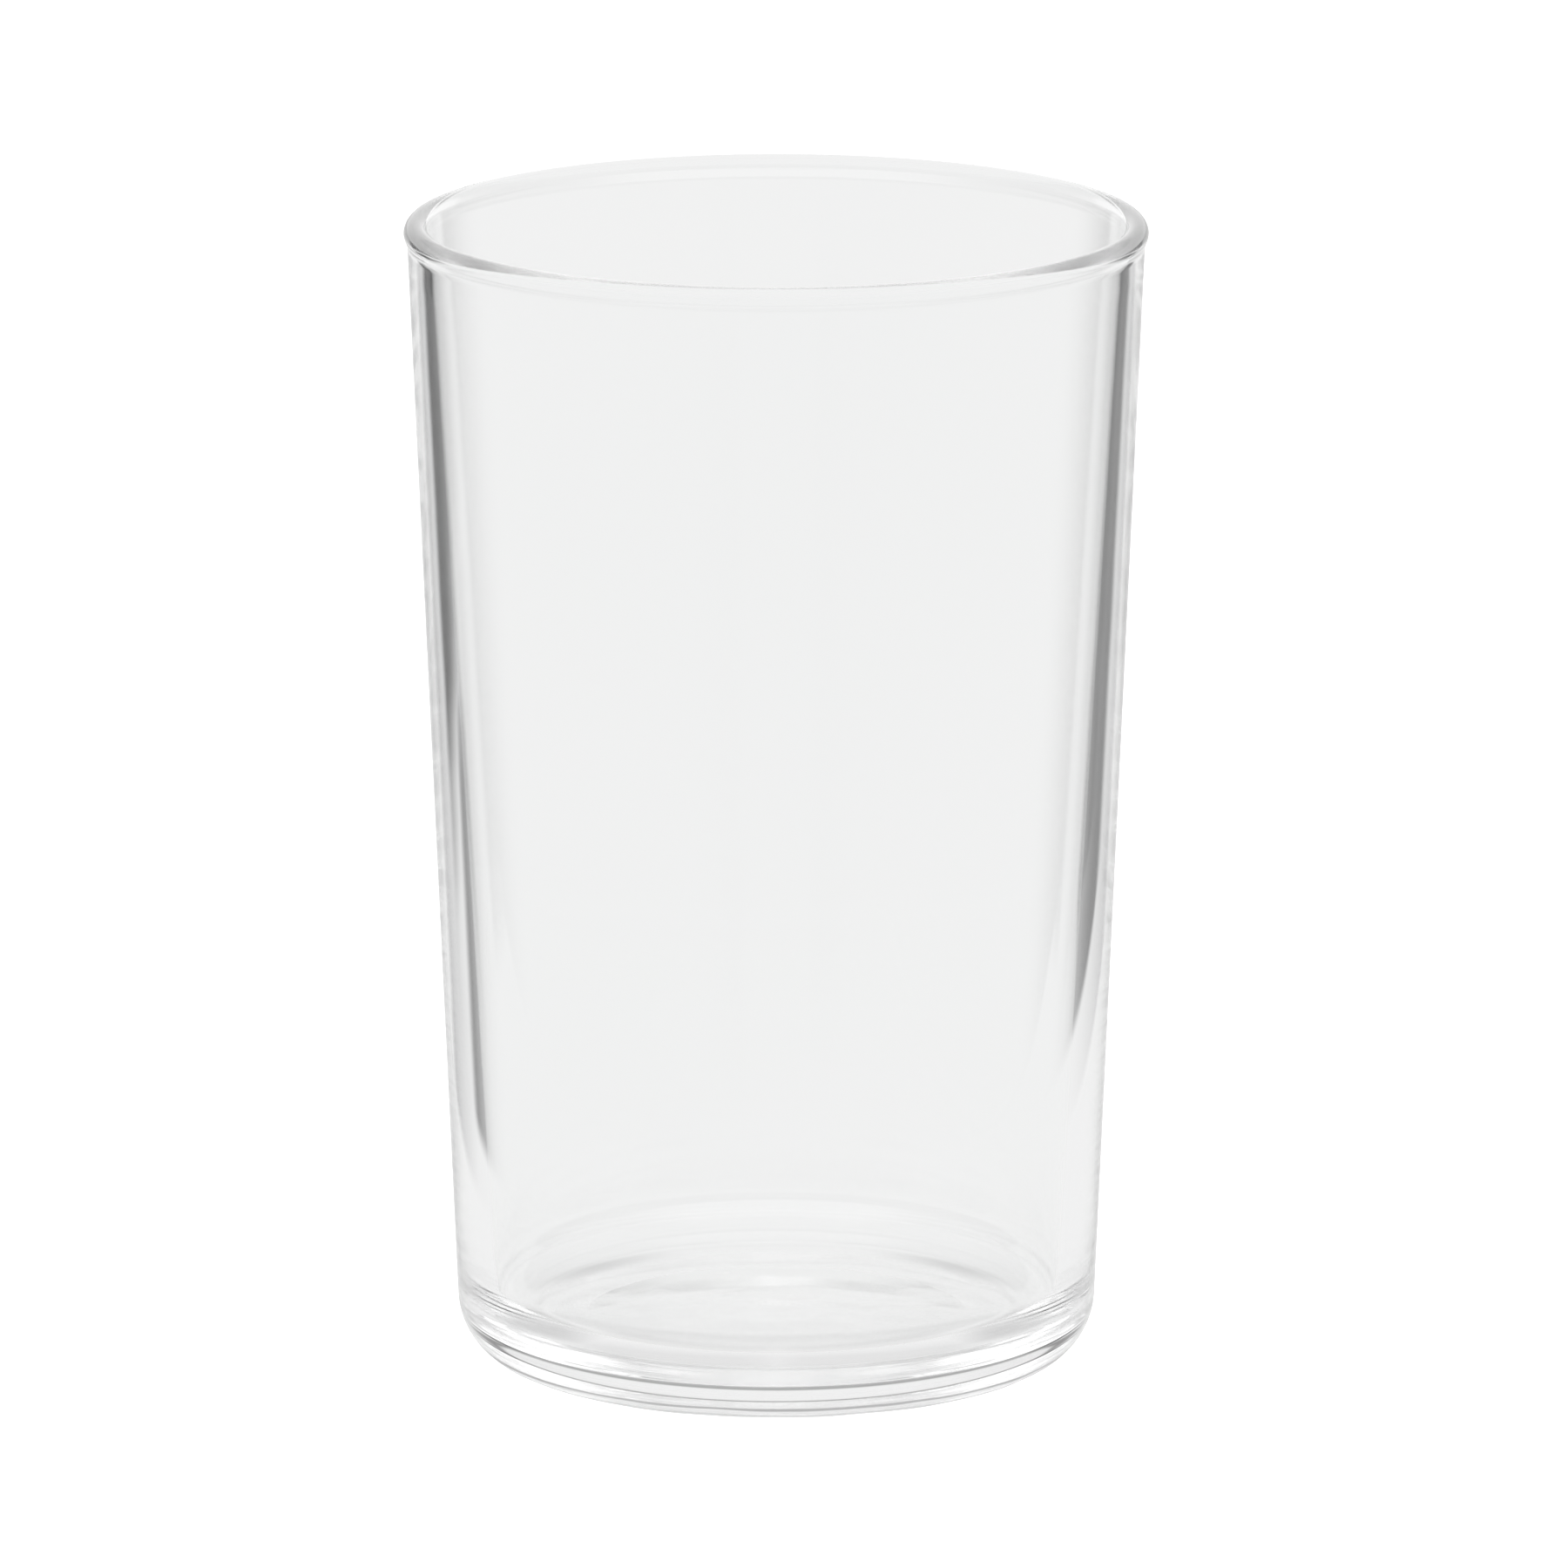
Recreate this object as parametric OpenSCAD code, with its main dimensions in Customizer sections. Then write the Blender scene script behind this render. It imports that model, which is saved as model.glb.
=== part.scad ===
// Sampler glass: a small straight-sided tasting tumbler, pressed as one piece of clear glass.
// Millimetres. The glass stands on the XY plane with its axis on Z.

/* [Overall] */
// Height from the table to the top of the lip
height = 89.8; // [70:0.1:120]
// Largest diameter, across the beaded lip
rim_d = 57.2; // [45:0.1:75]
// Diameter of the outer wall carried down to the table
base_d = 49; // [45:0.1:66]

/* [Wall] */
// Thickness of the wall just under the lip
wall_top = 1.65; // [1.2:0.05:3]
// Thickness of the wall at the level of the inner floor
wall_bottom = 2.9; // [1.5:0.05:5]

/* [Lip] */
// How far the bead of the lip stands out from the outer wall
bead_overhang = 0.2; // [0.1:0.05:0.8]
// Radius of the hollow that blends the bead into the outer wall
bead_blend = 2; // [0.5:0.1:6]

/* [Base] */
// Height of the inner floor above the table
floor_height = 4.2; // [3:0.1:12]
// Radius between the inner floor and the inner wall
floor_fillet = 3.8; // [1:0.1:10]
// Radius of the heel between the outer wall and the foot ring
heel_radius = 5.4; // [1:0.1:6]

/* [Push-up] */
// Diameter of the hollow under the base, at its mouth
push_up_d = 30; // [16:0.5:36]
// Depth of that hollow at the middle
push_up_depth = 0.4; // [0.2:0.1:2.2]
// Radius that softens the edge between the hollow and the foot ring
push_up_edge = 2; // [0.2:0.1:4]

/* [Finish] */
// Facets of a full circle in the preview
facets = 144; // [48:12:240]

/* [Hidden] */
$fn = facets;
clear_glass = [0.93, 0.95, 0.95, 0.4];

// Both faces of the wall are straight cones, so each is a radius and a gain per millimetre of height
rim_r = rim_d / 2;
base_r = base_d / 2;
outer_lean = (rim_r - bead_overhang - base_r) / height;
floor_r = base_r + outer_lean * floor_height - wall_bottom;
inner_lean = (rim_r - bead_overhang - wall_top - floor_r) / (height - floor_height);
function outer_r(z) = base_r + outer_lean * z;
function inner_r(z) = floor_r + inner_lean * (z - floor_height);

// A cone's length along its slope for each millimetre of height
outer_slant = sqrt(1 + outer_lean * outer_lean);
inner_slant = sqrt(1 + inner_lean * inner_lean);

// The heel touches the table and the outer wall
heel_at = [outer_r(heel_radius) - heel_radius * outer_slant, heel_radius];
heel_on_wall = heel_at + heel_radius / outer_slant * [1, -outer_lean];

// The bead reaches the full rim and the full height, and the inner wall runs straight into it
bead_r = (rim_r - inner_r(height)) / (1 + inner_slant - inner_lean);
bead_at = [rim_r - bead_r, height - bead_r];
bead_on_inner = bead_at + bead_r / inner_slant * [-1, inner_lean];

// The blend rolls along the outer wall until it touches the bead
bead_inset = (outer_r(bead_at.y) - bead_at.x) / outer_slant;
blend_drop = sqrt(pow(bead_blend + bead_r, 2) - pow(bead_blend + bead_inset, 2));
wall_along = [outer_lean, 1] / outer_slant;
wall_out = [1, -outer_lean] / outer_slant;
blend_on_wall = bead_at + bead_inset * wall_out - blend_drop * wall_along;
blend_at = blend_on_wall + bead_blend * wall_out;
blend_on_bead = bead_at + bead_r / (bead_r + bead_blend) * (blend_at - bead_at);

// The fillet touches the inner floor and the inner wall
fillet_z = floor_height + floor_fillet;
fillet_at = [inner_r(fillet_z) - floor_fillet * inner_slant, fillet_z];
fillet_on_wall = fillet_at + floor_fillet / inner_slant * [1, -inner_lean];

// The push-up is part of a ball, and a small round carries its edge down to the foot ring
ball_r = push_up_d * push_up_d / (8 * push_up_depth) + push_up_depth / 2;
ball_z = push_up_depth - ball_r;
edge_at = [sqrt(pow(ball_r + push_up_edge, 2) - pow(push_up_edge - ball_z, 2)), push_up_edge];
edge_on_ball = [edge_at.x * ball_r / (ball_r + push_up_edge),
                ball_z + (edge_at.y - ball_z) * ball_r / (ball_r + push_up_edge)];
edge_on_foot = [edge_at.x, 0];
push_up_crown = [0, push_up_depth];

// The sharp corner that the round of the heel takes away
module heel_corner() {
    difference() {
        polygon([[heel_at.x, 0], [base_r, 0], heel_on_wall]);
        translate(heel_at)
            circle(r = heel_radius);
    }
}

// Half of the glass cut through the axis
module half_section() {
    difference() {
        union() {
            polygon([push_up_crown, edge_on_ball, edge_at, edge_on_foot, [base_r, 0],
                     blend_on_wall, blend_on_bead, bead_at, bead_on_inner,
                     fillet_on_wall, [fillet_at.x, floor_height], [0, floor_height]]);
            translate(edge_at)
                circle(r = push_up_edge);
            translate(bead_at)
                circle(r = bead_r);
        }
        heel_corner();
        translate(blend_at)
            circle(r = bead_blend);
        translate(fillet_at)
            circle(r = floor_fillet);
        translate([0, ball_z])
            circle(r = ball_r);
    }
}

module tumbler() {
    color(clear_glass)
        rotate_extrude()
            half_section();
}

tumbler();
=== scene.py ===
import math

import bpy
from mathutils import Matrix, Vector


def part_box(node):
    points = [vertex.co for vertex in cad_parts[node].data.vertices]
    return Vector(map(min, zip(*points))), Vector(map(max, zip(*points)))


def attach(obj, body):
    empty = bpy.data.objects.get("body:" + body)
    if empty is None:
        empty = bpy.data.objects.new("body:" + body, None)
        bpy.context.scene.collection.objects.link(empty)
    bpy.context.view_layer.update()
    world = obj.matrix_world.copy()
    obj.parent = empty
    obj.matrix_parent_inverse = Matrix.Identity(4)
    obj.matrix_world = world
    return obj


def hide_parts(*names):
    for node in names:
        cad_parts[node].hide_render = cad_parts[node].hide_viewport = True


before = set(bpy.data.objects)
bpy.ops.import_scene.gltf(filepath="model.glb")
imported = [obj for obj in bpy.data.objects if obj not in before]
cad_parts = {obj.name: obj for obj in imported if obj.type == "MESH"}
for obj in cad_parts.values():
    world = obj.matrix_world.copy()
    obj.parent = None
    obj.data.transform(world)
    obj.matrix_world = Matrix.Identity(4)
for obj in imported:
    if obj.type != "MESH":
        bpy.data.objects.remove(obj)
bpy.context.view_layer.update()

MM = 0.001

# The glass. The frame gives its height and its widest radius, across the lip
GLASS_LOW, GLASS_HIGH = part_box("tumbler")
HEIGHT = GLASS_HIGH[2] - GLASS_LOW[2]
RIM_R = (GLASS_HIGH[0] - GLASS_LOW[0]) / 2
BASE_R = 24.5 * MM
WALL_TOP = 1.65 * MM
WALL_BOTTOM = 2.9 * MM
BEAD_OVERHANG = 0.2 * MM
BEAD_BLEND = 2 * MM
FLOOR_HEIGHT = 4.2 * MM
FLOOR_FILLET = 3.8 * MM
HEEL_RADIUS = 5.4 * MM
PUSH_UP_R = 15 * MM
PUSH_UP_DEPTH = 0.4 * MM
PUSH_UP_EDGE = 2 * MM

# Lathe steps round the glass and along each stretch of its section, and how near points weld
AROUND = 480
STEPS = {"push_up": 24, "push_up_edge": 6, "foot_ring": 4, "heel": 20, "outer_wall": 30, "bead_blend": 6,
         "bead_outside": 18, "bead_inside": 14, "inner_wall": 30, "fillet": 20, "floor": 12}
WELD = 0.002 * MM

# The ripple of the underside: its height, the size of its waves and the level where it has faded out
RIPPLE_HEIGHT = 0.15 * MM
RIPPLE_WAVE = 6 * MM
RIPPLE_TOP = 2 * MM

# The finish of the glass. Scales are of the soft noise that each finish follows
GLASS_IOR = 1.52
TINT = {"scale": 20, "faint": (0.985, 0.99, 0.988, 1), "clear": (1, 1, 1, 1)}
HAZE = {"scale": 45, "fades_in": (0.5, 0.8), "roughness": 0.03}
WORN_FOOT = {"scale": 700, "level": (0.9 * MM, 0.3 * MM), "roughness": (0.05, 0.15)}
WAVINESS = {"scale": 60, "strength": 0.02, "distance": 1 * MM}
SHADOW_TINT = (0.9, 0.9, 0.9, 1)
CLARITY = (0.5, 0.5, 0.5, 1)
CLARITY_DENSITY = 0.8

# The camera of the photo, found from the rim's ellipse and the outline of the wall
CAMERA_DISTANCE = 1.4
CAMERA_ELEVATION = math.radians(12.48)
CAMERA_TARGET = Vector((0.6 * MM, 0, 45.44 * MM))
CAMERA_LENS = 416.1
CAMERA_SENSOR = 36
CAMERA_NEAREST = 0.01

# The floor, and the light that falls on it and on the glass
FLOOR_SIZE = 6
FLOOR_PAPER = (0.8, 0.8, 0.8, 1)
FLOOR_GLOW = 0.6
BACKDROP = 1.0
ROOM_LIGHT = 0.6
SOFT_BOX = {"place": (0, -0.1, 0.8), "size": 0.7, "energy": 6}
LIGHT_BOUNCES = 320

# What shows in the glass, by looking through it and in its mirror faces: a pale table, a bright wall
# behind it, dimmer sides, a gap over the walls, and a ceiling that is brightest over the camera. Turns are
# from the wall straight behind the glass, and levels from the horizon, in degrees
TABLE = 0.89
SEEN_THROUGH = {"back_wall": 0.87, "side_wall": 0.35, "gap": 0.38,
                "back_ceiling": 0.6, "front_ceiling": 1.5}
MIRRORED = {"back_wall": 1.3, "side_wall": 0.8, "gap": 1.0,
            "back_ceiling": 0.9, "front_ceiling": 1.0}
BACK_WALL_TURNS = (80, 45)
FRONT_TURNS = (100, 140)
WALL_FOOT = (-1, 2)
WALL_HEAD = (16, 20)
CEILING_EDGE = (32, 46)

# Dark cards beside the glass, which fade over their soft widths on the near and far side
LOW_CARDS = (
    {"turn": (26, 46), "soft": (3, 16), "level": (-19, -0.5), "shade": 0.85},
    {"turn": (-26, -46), "soft": (3, 16), "level": (-15.7, -0.5), "shade": 0.97},
    {"turn": (-36, -46), "soft": (3, 16), "level": (-19, -15.7), "shade": 0.97},
)
HIGH_CARDS = (
    {"turn": (52, 100), "soft": (3, 16), "level": (3, 22), "shade": 0.9},
    {"turn": (-52, -100), "soft": (3, 16), "level": (3, 22), "shade": 0.9},
)
LEVEL_SOFT = 0.5

# The pale runner under the glass, with painted shadow patches on it round the foot that stand for the glass's
# own shadow. Turns are in degrees, and reaches in millimetres from the middle of the glass
RUNNER = {"x": (-63 * MM, 85 * MM), "y": (-130 * MM, 130 * MM), "soft_x": 3 * MM, "soft_y": 15 * MM}
PAINTED_FOOT_SHADOWS = (
    {"turn": (32, 60), "turn_soft": 14, "reach": (19.5, 22.5), "reach_soft": 1.2, "shade": 0.32},
    {"turn": (95, 130), "turn_soft": 10, "reach": (20, 25), "reach_soft": 1.5, "shade": 0.3},
    {"turn": (130, 180), "turn_soft": 10, "reach": (15, 22), "reach_soft": 2, "shade": 0.12},
)


class Template:
    """Half of the glass drawn as one line of edges, by extruding and spinning its end point."""

    def __init__(self, name, r, z):
        bpy.ops.object.select_all(action="DESELECT")
        bpy.ops.mesh.primitive_plane_add(size=MM)
        self.piece = bpy.context.object
        self.piece.name = self.piece.data.name = name
        bpy.ops.object.mode_set(mode="EDIT")
        bpy.ops.mesh.select_all(action="SELECT")
        bpy.ops.mesh.merge(type="CENTER")
        bpy.ops.transform.translate(value=(r, 0, z))
        self.end = Vector((r, 0, z))

    def run_to(self, r, z, steps):
        step = (Vector((r, 0, z)) - self.end) / steps
        for _ in range(steps):
            bpy.ops.mesh.extrude_region_move(TRANSFORM_OT_translate={"value": step})
        self.end = Vector((r, 0, z))

    def turn_to(self, r, z, centre, steps):
        middle = Vector((centre[0], 0, centre[1]))
        start, stop = self.end - middle, Vector((r, 0, z)) - middle
        angle = math.atan2(start.x * stop.z - start.z * stop.x, start.dot(stop))
        bpy.ops.mesh.spin(steps=steps, angle=angle, center=middle, axis=(0, 1, 0))
        self.end = Vector((r, 0, z))

    def revolve(self, steps):
        bpy.ops.mesh.select_all(action="SELECT")
        bpy.ops.mesh.spin(steps=steps, angle=2 * math.pi, center=(0, 0, 0), axis=(0, 0, 1))
        bpy.ops.mesh.select_all(action="SELECT")
        bpy.ops.mesh.remove_doubles(threshold=WELD)
        bpy.ops.mesh.normals_make_consistent(inside=False)
        bpy.ops.object.mode_set(mode="OBJECT")
        bpy.ops.object.shade_smooth()
        return self.piece


def turn_tumbler():
    """The glass: its section from the push-up out to the heel, up to the bead and down to the floor, spun."""
    outer_lean = (RIM_R - BEAD_OVERHANG - BASE_R) / HEIGHT
    floor_r = BASE_R + outer_lean * FLOOR_HEIGHT - WALL_BOTTOM
    inner_top = RIM_R - BEAD_OVERHANG - WALL_TOP
    inner_lean = (inner_top - floor_r) / (HEIGHT - FLOOR_HEIGHT)
    outer_slant = math.hypot(1, outer_lean)
    inner_slant = math.hypot(1, inner_lean)

    ball_r = PUSH_UP_R ** 2 / (2 * PUSH_UP_DEPTH) + PUSH_UP_DEPTH / 2
    ball_z = PUSH_UP_DEPTH - ball_r
    edge_z = PUSH_UP_EDGE
    edge_r = math.sqrt((ball_r + PUSH_UP_EDGE) ** 2 - (edge_z - ball_z) ** 2)
    edge_share = ball_r / (ball_r + PUSH_UP_EDGE)
    ball_end = (edge_r * edge_share, ball_z + (edge_z - ball_z) * edge_share)

    heel_r = BASE_R + outer_lean * HEEL_RADIUS - HEEL_RADIUS * outer_slant
    heel_reach = HEEL_RADIUS / outer_slant
    heel_top = (heel_r + heel_reach, HEEL_RADIUS - heel_reach * outer_lean)

    bead = (RIM_R - inner_top) / (1 + inner_slant - inner_lean)
    bead_r, bead_z = RIM_R - bead, HEIGHT - bead
    bead_end = (bead_r - bead / inner_slant, bead_z + bead * inner_lean / inner_slant)
    inset = (BASE_R + outer_lean * bead_z - bead_r) / outer_slant
    drop = math.sqrt((BEAD_BLEND + bead) ** 2 - (BEAD_BLEND + inset) ** 2)
    up_wall = Vector((outer_lean, 1)) / outer_slant
    out_wall = Vector((1, -outer_lean)) / outer_slant
    blend_low = Vector((bead_r, bead_z)) + inset * out_wall - drop * up_wall
    blend = blend_low + BEAD_BLEND * out_wall
    blend_high = Vector((bead_r, bead_z)).lerp(blend, bead / (bead + BEAD_BLEND))

    fillet_z = FLOOR_HEIGHT + FLOOR_FILLET
    fillet_r = floor_r + inner_lean * FLOOR_FILLET - FLOOR_FILLET * inner_slant
    fillet_reach = FLOOR_FILLET / inner_slant
    fillet_top = (fillet_r + fillet_reach, fillet_z - fillet_reach * inner_lean)

    line = Template("tumbler_glass", 0, PUSH_UP_DEPTH)
    line.turn_to(*ball_end, (0, ball_z), STEPS["push_up"])
    line.turn_to(edge_r, 0, (edge_r, edge_z), STEPS["push_up_edge"])
    line.run_to(heel_r, 0, STEPS["foot_ring"])
    line.turn_to(*heel_top, (heel_r, HEEL_RADIUS), STEPS["heel"])
    line.run_to(*blend_low, STEPS["outer_wall"])
    line.turn_to(*blend_high, blend, STEPS["bead_blend"])
    line.turn_to(bead_r, HEIGHT, (bead_r, bead_z), STEPS["bead_outside"])
    line.turn_to(*bead_end, (bead_r, bead_z), STEPS["bead_inside"])
    line.run_to(*fillet_top, STEPS["inner_wall"])
    line.turn_to(fillet_r, FLOOR_HEIGHT, (fillet_r, fillet_z), STEPS["fillet"])
    line.run_to(0, FLOOR_HEIGHT, STEPS["floor"])
    return line.revolve(AROUND)


def ripple_underside(piece):
    """The underside isn't polished: it rises and falls a little, most of all on the foot ring."""
    group = piece.vertex_groups.new(name="underside")
    for point in piece.data.vertices:
        weight = 1 - point.co.z / RIPPLE_TOP
        if weight > 0:
            group.add([point.index], weight, "REPLACE")
    clouds = bpy.data.textures.new("underside_ripple", "CLOUDS")
    clouds.noise_scale = RIPPLE_WAVE
    clouds.noise_depth = 1
    ripple = piece.modifiers.new("ripple", "DISPLACE")
    ripple.texture = clouds
    ripple.texture_coords = "LOCAL"
    ripple.direction = "Z"
    ripple.mid_level = 0
    ripple.strength = RIPPLE_HEIGHT
    ripple.vertex_group = group.name
    bpy.context.view_layer.objects.active = piece
    bpy.ops.object.modifier_apply(modifier=ripple.name)


def add_node(tree, kind, **settings):
    node = tree.nodes.new(kind)
    for name, value in settings.items():
        setattr(node, name, value)
    return node


def reckon(tree, operation, *values):
    """A Math node on sockets and plain numbers."""
    node = add_node(tree, "ShaderNodeMath", operation=operation)
    for socket, value in zip(node.inputs, values):
        if isinstance(value, bpy.types.NodeSocket):
            tree.links.new(value, socket)
        else:
            socket.default_value = value
    return node.outputs[0]


def soft_step(tree, value, low, high):
    """Rises from 0 at low to 1 at high, or falls where high is the smaller."""
    step = add_node(tree, "ShaderNodeMapRange", interpolation_type="SMOOTHSTEP")
    tree.links.new(value, step.inputs["Value"])
    step.inputs["From Min"].default_value = low
    step.inputs["From Max"].default_value = high
    return step.outputs["Result"]


def about(middle, soft):
    """The start and end of a soft step around a value."""
    return middle - soft, middle + soft


def soft_window(tree, value, low, high, low_soft, high_soft):
    """1 between low and high, 0 outside, with soft edges."""
    return reckon(tree, "MULTIPLY", soft_step(tree, value, *about(low, low_soft)),
                  soft_step(tree, value, *about(high, -high_soft)))


def ramp(tree, share, start, end):
    """Goes from start to end as share goes from 0 to 1."""
    return reckon(tree, "MULTIPLY_ADD", share, reckon(tree, "SUBTRACT", end, start), start)


def blend_shaders(tree, share, first, second):
    mix = add_node(tree, "ShaderNodeMixShader")
    tree.links.new(share, mix.inputs[0])
    tree.links.new(first.outputs[0], mix.inputs[1])
    tree.links.new(second.outputs[0], mix.inputs[2])
    return mix


def cloud(tree, place, scale):
    """Soft noise over the object."""
    noise = add_node(tree, "ShaderNodeTexNoise")
    noise.inputs["Scale"].default_value = scale
    noise.inputs["Detail"].default_value = 1
    tree.links.new(place.outputs["Object"], noise.inputs["Vector"])
    return noise.outputs["Fac"]


def clear_glass():
    """Colourless fire-polished glass: faint waves, a breath of haze here and there, and a duller underside."""
    glass = bpy.data.materials.new("clear_glass")
    glass.use_nodes = True
    tree = glass.node_tree
    link = tree.links.new
    body = tree.nodes["Principled BSDF"]
    body.inputs["Transmission Weight"].default_value = 1
    body.inputs["IOR"].default_value = GLASS_IOR
    place = add_node(tree, "ShaderNodeTexCoord")
    split = add_node(tree, "ShaderNodeSeparateXYZ")
    link(place.outputs["Object"], split.inputs[0])
    tint = add_node(tree, "ShaderNodeValToRGB")
    tint.color_ramp.elements[0].color = TINT["faint"]
    tint.color_ramp.elements[1].color = TINT["clear"]
    link(cloud(tree, place, TINT["scale"]), tint.inputs["Fac"])
    link(tint.outputs["Color"], body.inputs["Base Color"])
    haze = reckon(tree, "MULTIPLY", soft_step(tree, cloud(tree, place, HAZE["scale"]), *HAZE["fades_in"]),
                  HAZE["roughness"])
    worn = reckon(tree, "MULTIPLY", soft_step(tree, split.outputs["Z"], *WORN_FOOT["level"]),
                  ramp(tree, cloud(tree, place, WORN_FOOT["scale"]), *WORN_FOOT["roughness"]))
    link(reckon(tree, "MAXIMUM", haze, worn), body.inputs["Roughness"])
    bump = add_node(tree, "ShaderNodeBump")
    bump.inputs["Strength"].default_value = WAVINESS["strength"]
    bump.inputs["Distance"].default_value = WAVINESS["distance"]
    link(cloud(tree, place, WAVINESS["scale"]), bump.inputs["Height"])
    link(bump.outputs["Normal"], body.inputs["Normal"])
    way = add_node(tree, "ShaderNodeLightPath")
    see_through = add_node(tree, "ShaderNodeBsdfTransparent")
    see_through.inputs["Color"].default_value = SHADOW_TINT
    surface = blend_shaders(tree, way.outputs["Is Shadow Ray"], body, see_through)
    link(surface.outputs[0], tree.nodes["Material Output"].inputs["Surface"])
    depth = add_node(tree, "ShaderNodeVolumeAbsorption")
    depth.inputs["Color"].default_value = CLARITY
    depth.inputs["Density"].default_value = CLARITY_DENSITY
    link(depth.outputs[0], tree.nodes["Material Output"].inputs["Volume"])
    return glass


def painted_foot_shadow(tree, x, y):
    """Painted shadow: how much the runner's glow is darkened, in patches round the foot, to stand for the
    glass's own shadow.
    """
    turn = reckon(tree, "ABSOLUTE", reckon(tree, "ARCTAN2", x, y))
    reach = reckon(tree, "SQRT", reckon(tree, "MULTIPLY_ADD", x, x, reckon(tree, "MULTIPLY", y, y)))
    shade = 0.0
    for patch in PAINTED_FOOT_SHADOWS:
        turn_soft = math.radians(patch["turn_soft"])
        reach_soft = patch["reach_soft"] * MM
        across = soft_window(tree, turn, *map(math.radians, patch["turn"]), turn_soft, turn_soft)
        along = soft_window(tree, reach, *(edge * MM for edge in patch["reach"]), reach_soft, reach_soft)
        dim = reckon(tree, "MULTIPLY", reckon(tree, "MULTIPLY", across, along), patch["shade"])
        shade = reckon(tree, "MAXIMUM", dim, shade)
    return shade


def pale_floor():
    """White floor. The glass shows only its runner, with painted shadow round the foot, and past that the
    table that the world holds.
    """
    bpy.ops.object.select_all(action="DESELECT")
    bpy.ops.mesh.primitive_plane_add(size=FLOOR_SIZE)
    floor = bpy.context.object
    floor.name = "floor"
    paper = bpy.data.materials.new("white_paper")
    paper.use_nodes = True
    tree = paper.node_tree
    link = tree.links.new
    tree.nodes.clear()
    out = add_node(tree, "ShaderNodeOutputMaterial")
    lit = add_node(tree, "ShaderNodeBsdfDiffuse")
    lit.inputs["Color"].default_value = FLOOR_PAPER
    glow = add_node(tree, "ShaderNodeEmission")
    glow.inputs["Strength"].default_value = FLOOR_GLOW
    sheet = add_node(tree, "ShaderNodeAddShader")
    link(lit.outputs[0], sheet.inputs[0])
    link(glow.outputs[0], sheet.inputs[1])
    place = add_node(tree, "ShaderNodeTexCoord")
    split = add_node(tree, "ShaderNodeSeparateXYZ")
    link(place.outputs["Object"], split.inputs[0])
    x, y = split.outputs["X"], split.outputs["Y"]
    on_runner = reckon(tree, "MULTIPLY",
                       soft_window(tree, x, *RUNNER["x"], RUNNER["soft_x"], RUNNER["soft_x"]),
                       soft_window(tree, y, *RUNNER["y"], RUNNER["soft_y"], RUNNER["soft_y"]))
    runner = add_node(tree, "ShaderNodeEmission")
    # The runner glows at the table's brightness, less the painted shadow round the foot
    link(reckon(tree, "MULTIPLY_ADD", painted_foot_shadow(tree, x, y), -TABLE, TABLE), runner.inputs["Strength"])
    clear = add_node(tree, "ShaderNodeBsdfTransparent")
    shown = blend_shaders(tree, on_runner, clear, runner)
    way = add_node(tree, "ShaderNodeLightPath")
    in_glass = reckon(tree, "MAXIMUM", way.outputs["Is Transmission Ray"], way.outputs["Is Glossy Ray"])
    surface = blend_shaders(tree, in_glass, sheet, shown)
    link(surface.outputs[0], out.inputs["Surface"])
    floor.data.materials.append(paper)


def height_of(level):
    """The height of a direction of length 1 at a level in degrees."""
    return math.sin(math.radians(level))


def past_cards(tree, turn, level, cards):
    """How much of the light the dark cards let by."""
    shade = 0.0
    for card in cards:
        near, far = map(math.radians, card["turn"])
        aside = reckon(tree, "MULTIPLY", turn, math.copysign(1, near))
        across = soft_window(tree, aside, abs(near), abs(far), *map(math.radians, card["soft"]))
        low, high = card["level"]
        upright = reckon(tree, "MULTIPLY", soft_step(tree, level, *map(height_of, about(low, LEVEL_SOFT))),
                         soft_step(tree, level, *map(height_of, about(high, -LEVEL_SOFT))))
        patch = reckon(tree, "MULTIPLY", reckon(tree, "MULTIPLY", across, upright), card["shade"])
        shade = reckon(tree, "MAXIMUM", patch, shade)
    return reckon(tree, "SUBTRACT", 1.0, shade)


def background(tree, strength):
    light = add_node(tree, "ShaderNodeBackground")
    light.inputs["Color"].default_value = (1, 1, 1, 1)
    if isinstance(strength, bpy.types.NodeSocket):
        tree.links.new(strength, light.inputs["Strength"])
    else:
        light.inputs["Strength"].default_value = strength
    return light


def room(tree, turn, level, shades, cards):
    """The table, the walls and the ceiling, with dark cards before them."""
    aside = reckon(tree, "ABSOLUTE", turn)
    behind = soft_step(tree, aside, *map(math.radians, BACK_WALL_TURNS))
    before = soft_step(tree, aside, *map(math.radians, FRONT_TURNS))
    over = soft_step(tree, level, *map(height_of, WALL_FOOT))
    above = soft_step(tree, level, *map(height_of, WALL_HEAD))
    overhead = soft_step(tree, level, *map(height_of, CEILING_EDGE))
    walls = ramp(tree, behind, shades["side_wall"], shades["back_wall"])
    back = ramp(tree, overhead, shades["gap"], shades["back_ceiling"])
    upper = ramp(tree, before, back, shades["front_ceiling"])
    pale = ramp(tree, over, TABLE, ramp(tree, above, walls, upper))
    return reckon(tree, "MULTIPLY", pale, past_cards(tree, turn, level, cards))


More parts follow.
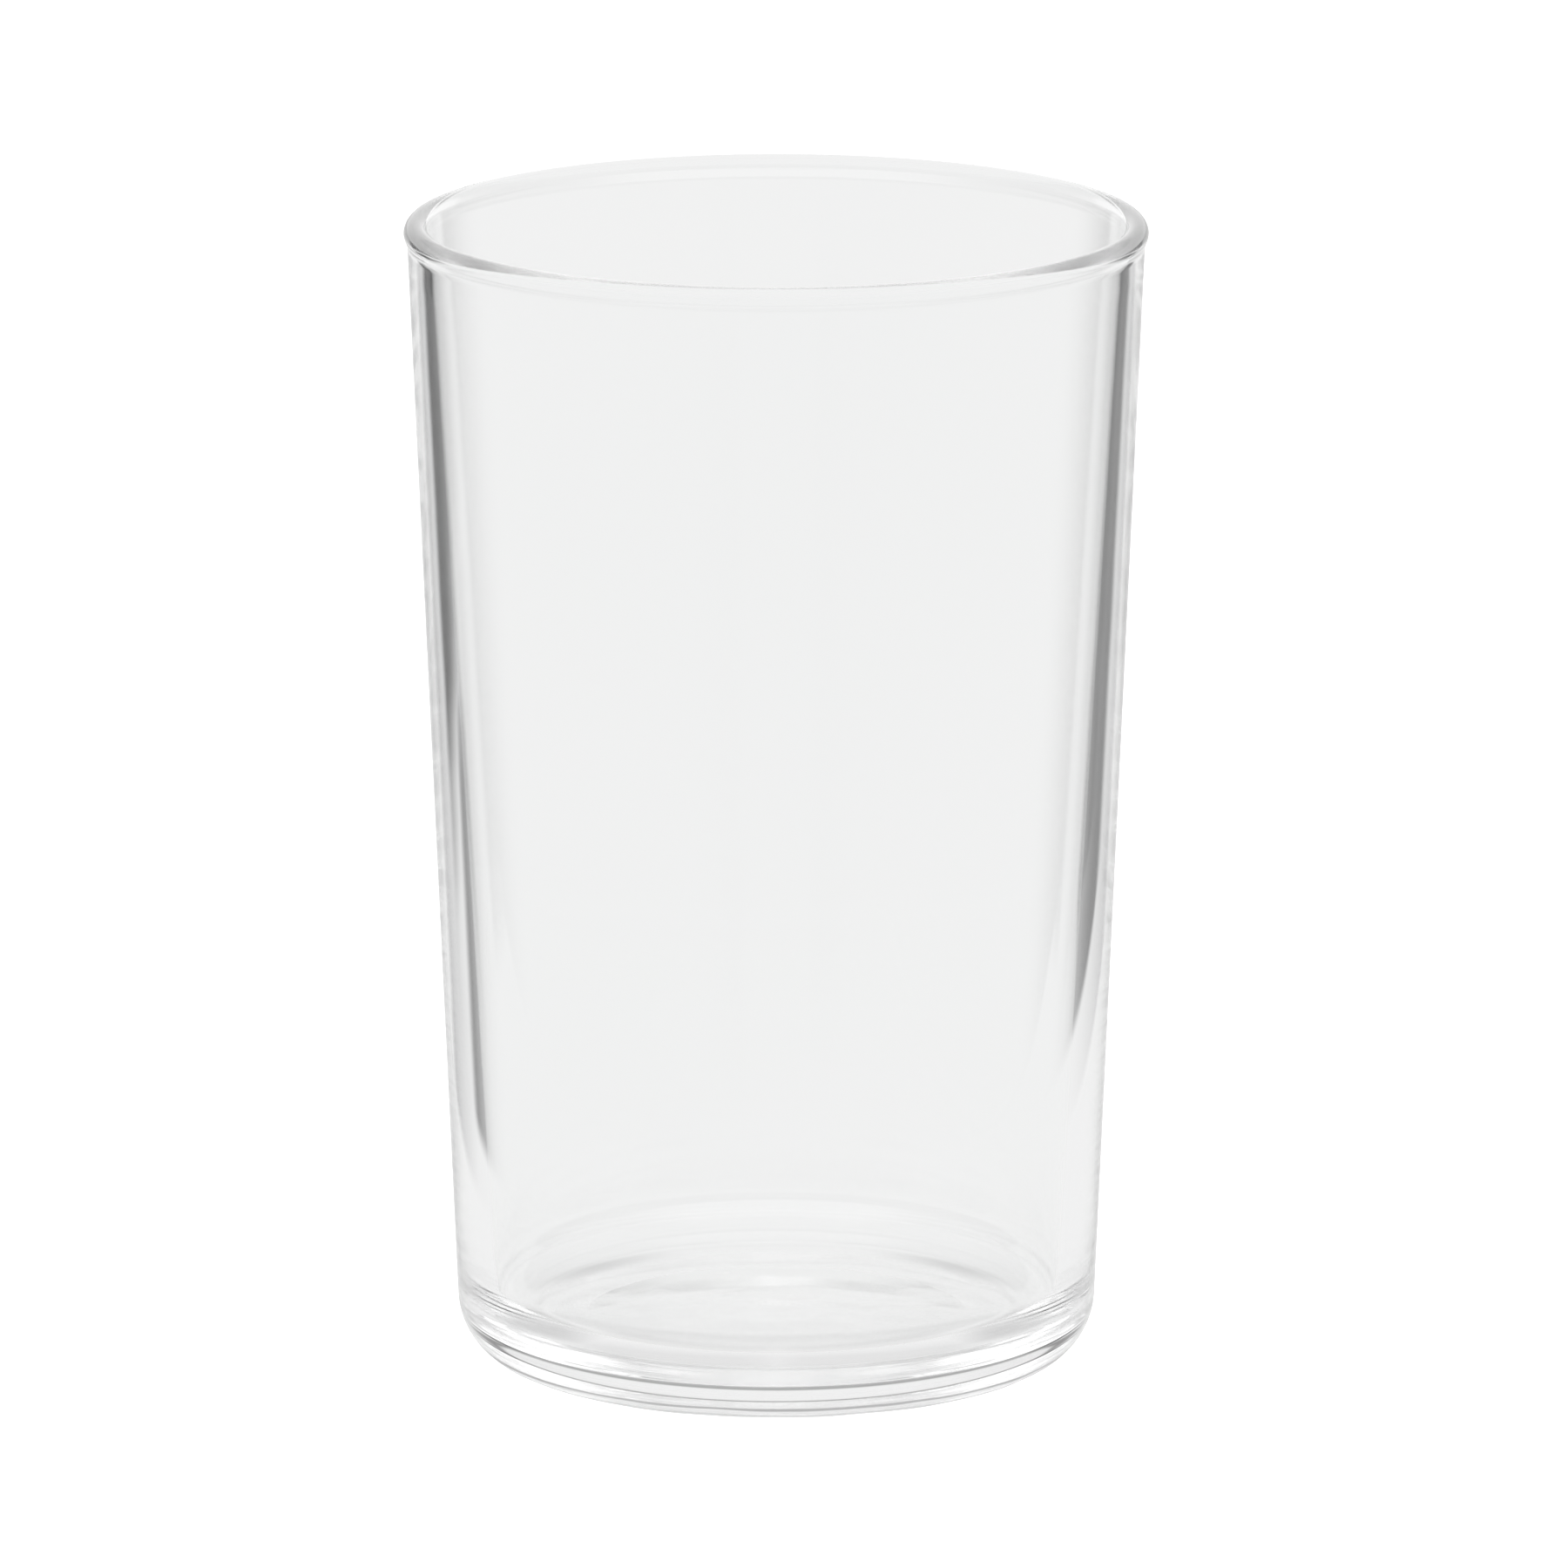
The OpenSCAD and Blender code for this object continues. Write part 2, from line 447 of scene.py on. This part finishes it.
def studio_world():
    """White to the camera, and the table, walls, ceiling and cards to the glass."""
    world = bpy.data.worlds.new("studio")
    bpy.context.scene.world = world
    world.use_nodes = True
    tree = world.node_tree
    link = tree.links.new
    tree.nodes.clear()
    out = add_node(tree, "ShaderNodeOutputWorld")
    way = add_node(tree, "ShaderNodeLightPath")
    place = add_node(tree, "ShaderNodeTexCoord")
    split = add_node(tree, "ShaderNodeSeparateXYZ")
    link(place.outputs["Generated"], split.inputs[0])
    level = split.outputs["Z"]
    turn = reckon(tree, "ARCTAN2", split.outputs["X"], split.outputs["Y"])
    seen_through = room(tree, turn, level, SEEN_THROUGH, LOW_CARDS + HIGH_CARDS)
    mirrored = room(tree, turn, level, MIRRORED, LOW_CARDS)
    shown = {"Is Camera Ray": BACKDROP, "Is Glossy Ray": mirrored, "Is Transmission Ray": seen_through}
    surface = background(tree, ROOM_LIGHT)
    for ray, light in shown.items():
        surface = blend_shaders(tree, way.outputs[ray], surface, background(tree, light))
    link(surface.outputs[0], out.inputs["Surface"])


def soft_box():
    """One wide soft box over the table."""
    bpy.ops.object.light_add(type="AREA", location=SOFT_BOX["place"])
    lamp = bpy.context.object
    lamp.name = "soft_box"
    lamp.data.shape = "DISK"
    lamp.data.size = SOFT_BOX["size"]
    lamp.data.energy = SOFT_BOX["energy"]
    lamp.visible_glossy = False
    lamp.visible_transmission = False


def photo_camera():
    back = Vector((0, -math.cos(CAMERA_ELEVATION), math.sin(CAMERA_ELEVATION)))
    camera = bpy.data.objects.new("camera", bpy.data.cameras.new("camera"))
    bpy.context.scene.collection.objects.link(camera)
    camera.location = CAMERA_TARGET + CAMERA_DISTANCE * back
    camera.rotation_euler = back.to_track_quat("Z", "Y").to_euler()
    camera.data.lens = CAMERA_LENS
    camera.data.sensor_width = CAMERA_SENSOR
    camera.data.clip_start = CAMERA_NEAREST
    bpy.context.scene.camera = camera


photo_camera()
tumbler = turn_tumbler()
ripple_underside(tumbler)
tumbler.data.materials.clear()
tumbler.data.materials.append(clear_glass())
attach(tumbler, "root")
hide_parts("tumbler")
pale_floor()
studio_world()
soft_box()

scene = bpy.context.scene
scene.view_settings.view_transform = "Standard"
scene.cycles.max_bounces = LIGHT_BOUNCES
scene.cycles.glossy_bounces = LIGHT_BOUNCES
scene.cycles.transmission_bounces = LIGHT_BOUNCES
